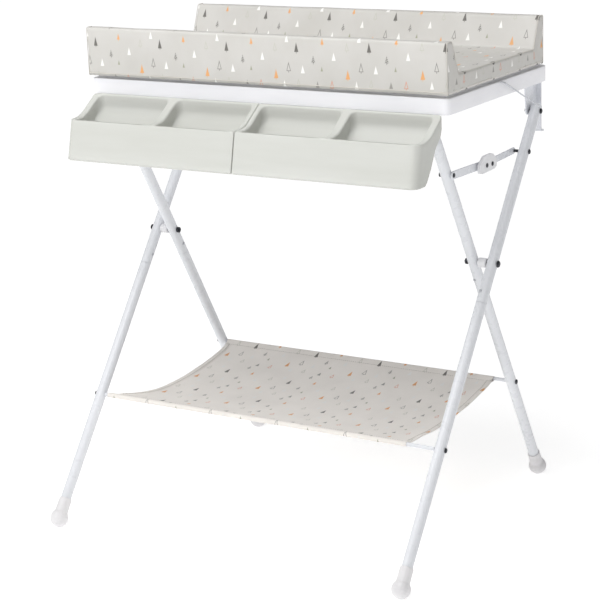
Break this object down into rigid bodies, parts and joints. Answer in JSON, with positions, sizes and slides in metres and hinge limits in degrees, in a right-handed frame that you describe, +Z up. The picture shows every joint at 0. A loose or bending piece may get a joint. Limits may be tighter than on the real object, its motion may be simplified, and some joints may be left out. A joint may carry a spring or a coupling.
{
  "type": "changing table",
  "caption": "Folding baby changing table: crossed tubular legs, moulded top, mat with raised long sides, two hanging storage bins and a fabric shelf.",
  "frame": {"origin": "on the floor, under the middle of the bounding box", "axes": "+Z up, front of the table (bins) towards -Y, +X to the right as seen from the front"},
  "size_m": [0.8214, 0.7319, 0.987],
  "materials": {
    "white_tube": "gloss white powder coat",
    "top_plastic": "satin moulded plastic",
    "bin_plastic": "satin cream moulded plastic",
    "foot_plastic": "slightly translucent moulded plastic",
    "dark_steel": "dark zinc finish",
    "bright_steel": "bright zinc finish",
    "white_plastic": "moulded plastic",
    "white_plate": "gloss white paint",
    "mat_cover": "coated wipe-clean fabric with a small printed pattern",
    "shelf_cloth": "printed woven fabric"
  },
  "bodies": {
    "outer_frame": {"outer_leg_upper_right": "white_tube", "outer_leg_lower_right": "white_tube", "front_foot_right": "foot_plastic", "front_rod_screw_right": "dark_steel", "pivot_bolt_right": "dark_steel", "pivot_spacer_right": "white_plastic", "pivot_nut_right": "dark_steel", "hinge_bolt_right": "dark_steel", "hinge_nut_right": "dark_steel", "brace_rear_rivet_right": "dark_steel", "outer_leg_upper_left": "white_tube", "outer_leg_lower_left": "white_tube", "front_foot_left": "foot_plastic", "front_rod_screw_left": "dark_steel", "pivot_bolt_left": "dark_steel", "pivot_spacer_left": "white_plastic", "pivot_nut_left": "dark_steel", "hinge_bolt_left": "dark_steel", "hinge_nut_left": "dark_steel", "brace_rear_rivet_left": "dark_steel", "front_shelf_rod": "white_tube", "shelf_fabric": "shelf_cloth"},
    "inner_frame": {"inner_frame_upper": "white_tube", "rear_shelf_rod": "white_tube", "inner_leg_lower_right": "white_tube", "rear_foot_right": "foot_plastic", "rear_rod_screw_right": "dark_steel", "brace_front_rivet_right": "dark_steel", "inner_leg_lower_left": "white_tube", "rear_foot_left": "foot_plastic", "rear_rod_screw_left": "dark_steel", "brace_front_rivet_left": "dark_steel"},
    "top": {"table_top": "top_plastic", "top_saddle_right": "white_plastic", "top_bracket_right": "white_plate", "stay_wire_right": "bright_steel", "top_saddle_left": "white_plastic", "top_bracket_left": "white_plate", "stay_wire_left": "bright_steel"},
    "changing_mat": {"mat_pad": "mat_cover", "mat_wedge_front": "mat_cover", "mat_wedge_rear": "mat_cover"},
    "bin_box_right": {"bin_right": "bin_plastic"},
    "brace_front_right": {"brace_front_bar_right": "white_plate"},
    "brace_rear_right": {"brace_rear_bar_right": "white_plate", "brace_lock_cover_right": "white_plastic", "brace_middle_rivet_right": "dark_steel", "brace_cover_rivet_right": "dark_steel"},
    "bin_box_left": {"bin_left": "bin_plastic"},
    "brace_front_left": {"brace_front_bar_left": "white_plate"},
    "brace_rear_left": {"brace_rear_bar_left": "white_plate", "brace_lock_cover_left": "white_plastic", "brace_middle_rivet_left": "dark_steel", "brace_cover_rivet_left": "dark_steel"},
    "outer_snap_right": {"outer_snap_button_right": "bright_steel"},
    "outer_snap_left": {"outer_snap_button_left": "bright_steel"},
    "inner_snap_right": {"inner_snap_button_right": "bright_steel"},
    "inner_snap_left": {"inner_snap_button_left": "bright_steel"}
  },
  "joints": [
    {"name": "legs_fold", "type": "hinge", "parent": "outer_frame", "child": "inner_frame", "pos_m": [0, 0.048, 0.536], "axis": [-1, 0, 0], "range_deg": [0, 58], "deforming": ["shelf_fabric"]},
    {"name": "top_tilt", "type": "hinge", "parent": "outer_frame", "child": "top", "pos_m": [0, 0.24895, 0.7994], "axis": [-1, 0, 0], "range_deg": [0, 58]},
    {"name": "mat_lift_off", "type": "slide", "parent": "top", "child": "changing_mat", "axis": [0, 0, 1], "range_m": [0, 0.25]},
    {"name": "bin_right_unhook", "type": "slide", "parent": "inner_frame", "child": "bin_box_right", "axis": [0, -0.9848, 0.1736], "range_m": [0, 0.15]},
    {"name": "brace_front_fold_right", "type": "hinge", "parent": "inner_frame", "child": "brace_front_right", "pos_m": [0.366, -0.0629, 0.728], "axis": [-1, 0, 0], "range_deg": [0, 44.5]},
    {"name": "brace_rear_fold_right", "type": "hinge", "parent": "outer_frame", "child": "brace_rear_right", "pos_m": [0.3697, 0.1945, 0.728], "axis": [1, 0, 0], "range_deg": [0, 57]},
    {"name": "bin_left_unhook", "type": "slide", "parent": "inner_frame", "child": "bin_box_left", "axis": [0, -0.9848, 0.1736], "range_m": [0, 0.15]},
    {"name": "brace_front_fold_left", "type": "hinge", "parent": "inner_frame", "child": "brace_front_left", "pos_m": [-0.366, -0.0629, 0.728], "axis": [-1, 0, 0], "range_deg": [0, 44.5]},
    {"name": "brace_rear_fold_left", "type": "hinge", "parent": "outer_frame", "child": "brace_rear_left", "pos_m": [-0.3697, 0.1945, 0.728], "axis": [1, 0, 0], "range_deg": [0, 57]},
    {"name": "outer_snap_right", "type": "slide", "parent": "outer_frame", "child": "outer_snap_right", "axis": [0.3692, 0.7389, -0.5637], "range_m": [0, 0.0025], "stiffness_N_per_m": 800},
    {"name": "outer_snap_left", "type": "slide", "parent": "outer_frame", "child": "outer_snap_left", "axis": [-1, 0, 0], "range_m": [0, 0.0025], "stiffness_N_per_m": 800},
    {"name": "inner_snap_right", "type": "slide", "parent": "inner_frame", "child": "inner_snap_right", "axis": [0.3426, 0.8135, 0.4699], "range_m": [0, 0.0025], "stiffness_N_per_m": 800},
    {"name": "inner_snap_left", "type": "slide", "parent": "inner_frame", "child": "inner_snap_left", "axis": [-1, 0, 0], "range_m": [0, 0.0025], "stiffness_N_per_m": 800}
  ],
  "couplings": [
    {"joint": "top_tilt", "follows": "legs_fold", "ratio": 1},
    {"joint": "brace_front_fold_right", "follows": "legs_fold", "ratio": 0.7622},
    {"joint": "brace_rear_fold_right", "follows": "legs_fold", "ratio": 0.9748},
    {"joint": "brace_front_fold_left", "follows": "legs_fold", "ratio": 0.7622},
    {"joint": "brace_rear_fold_left", "follows": "legs_fold", "ratio": 0.9748}
  ]
}
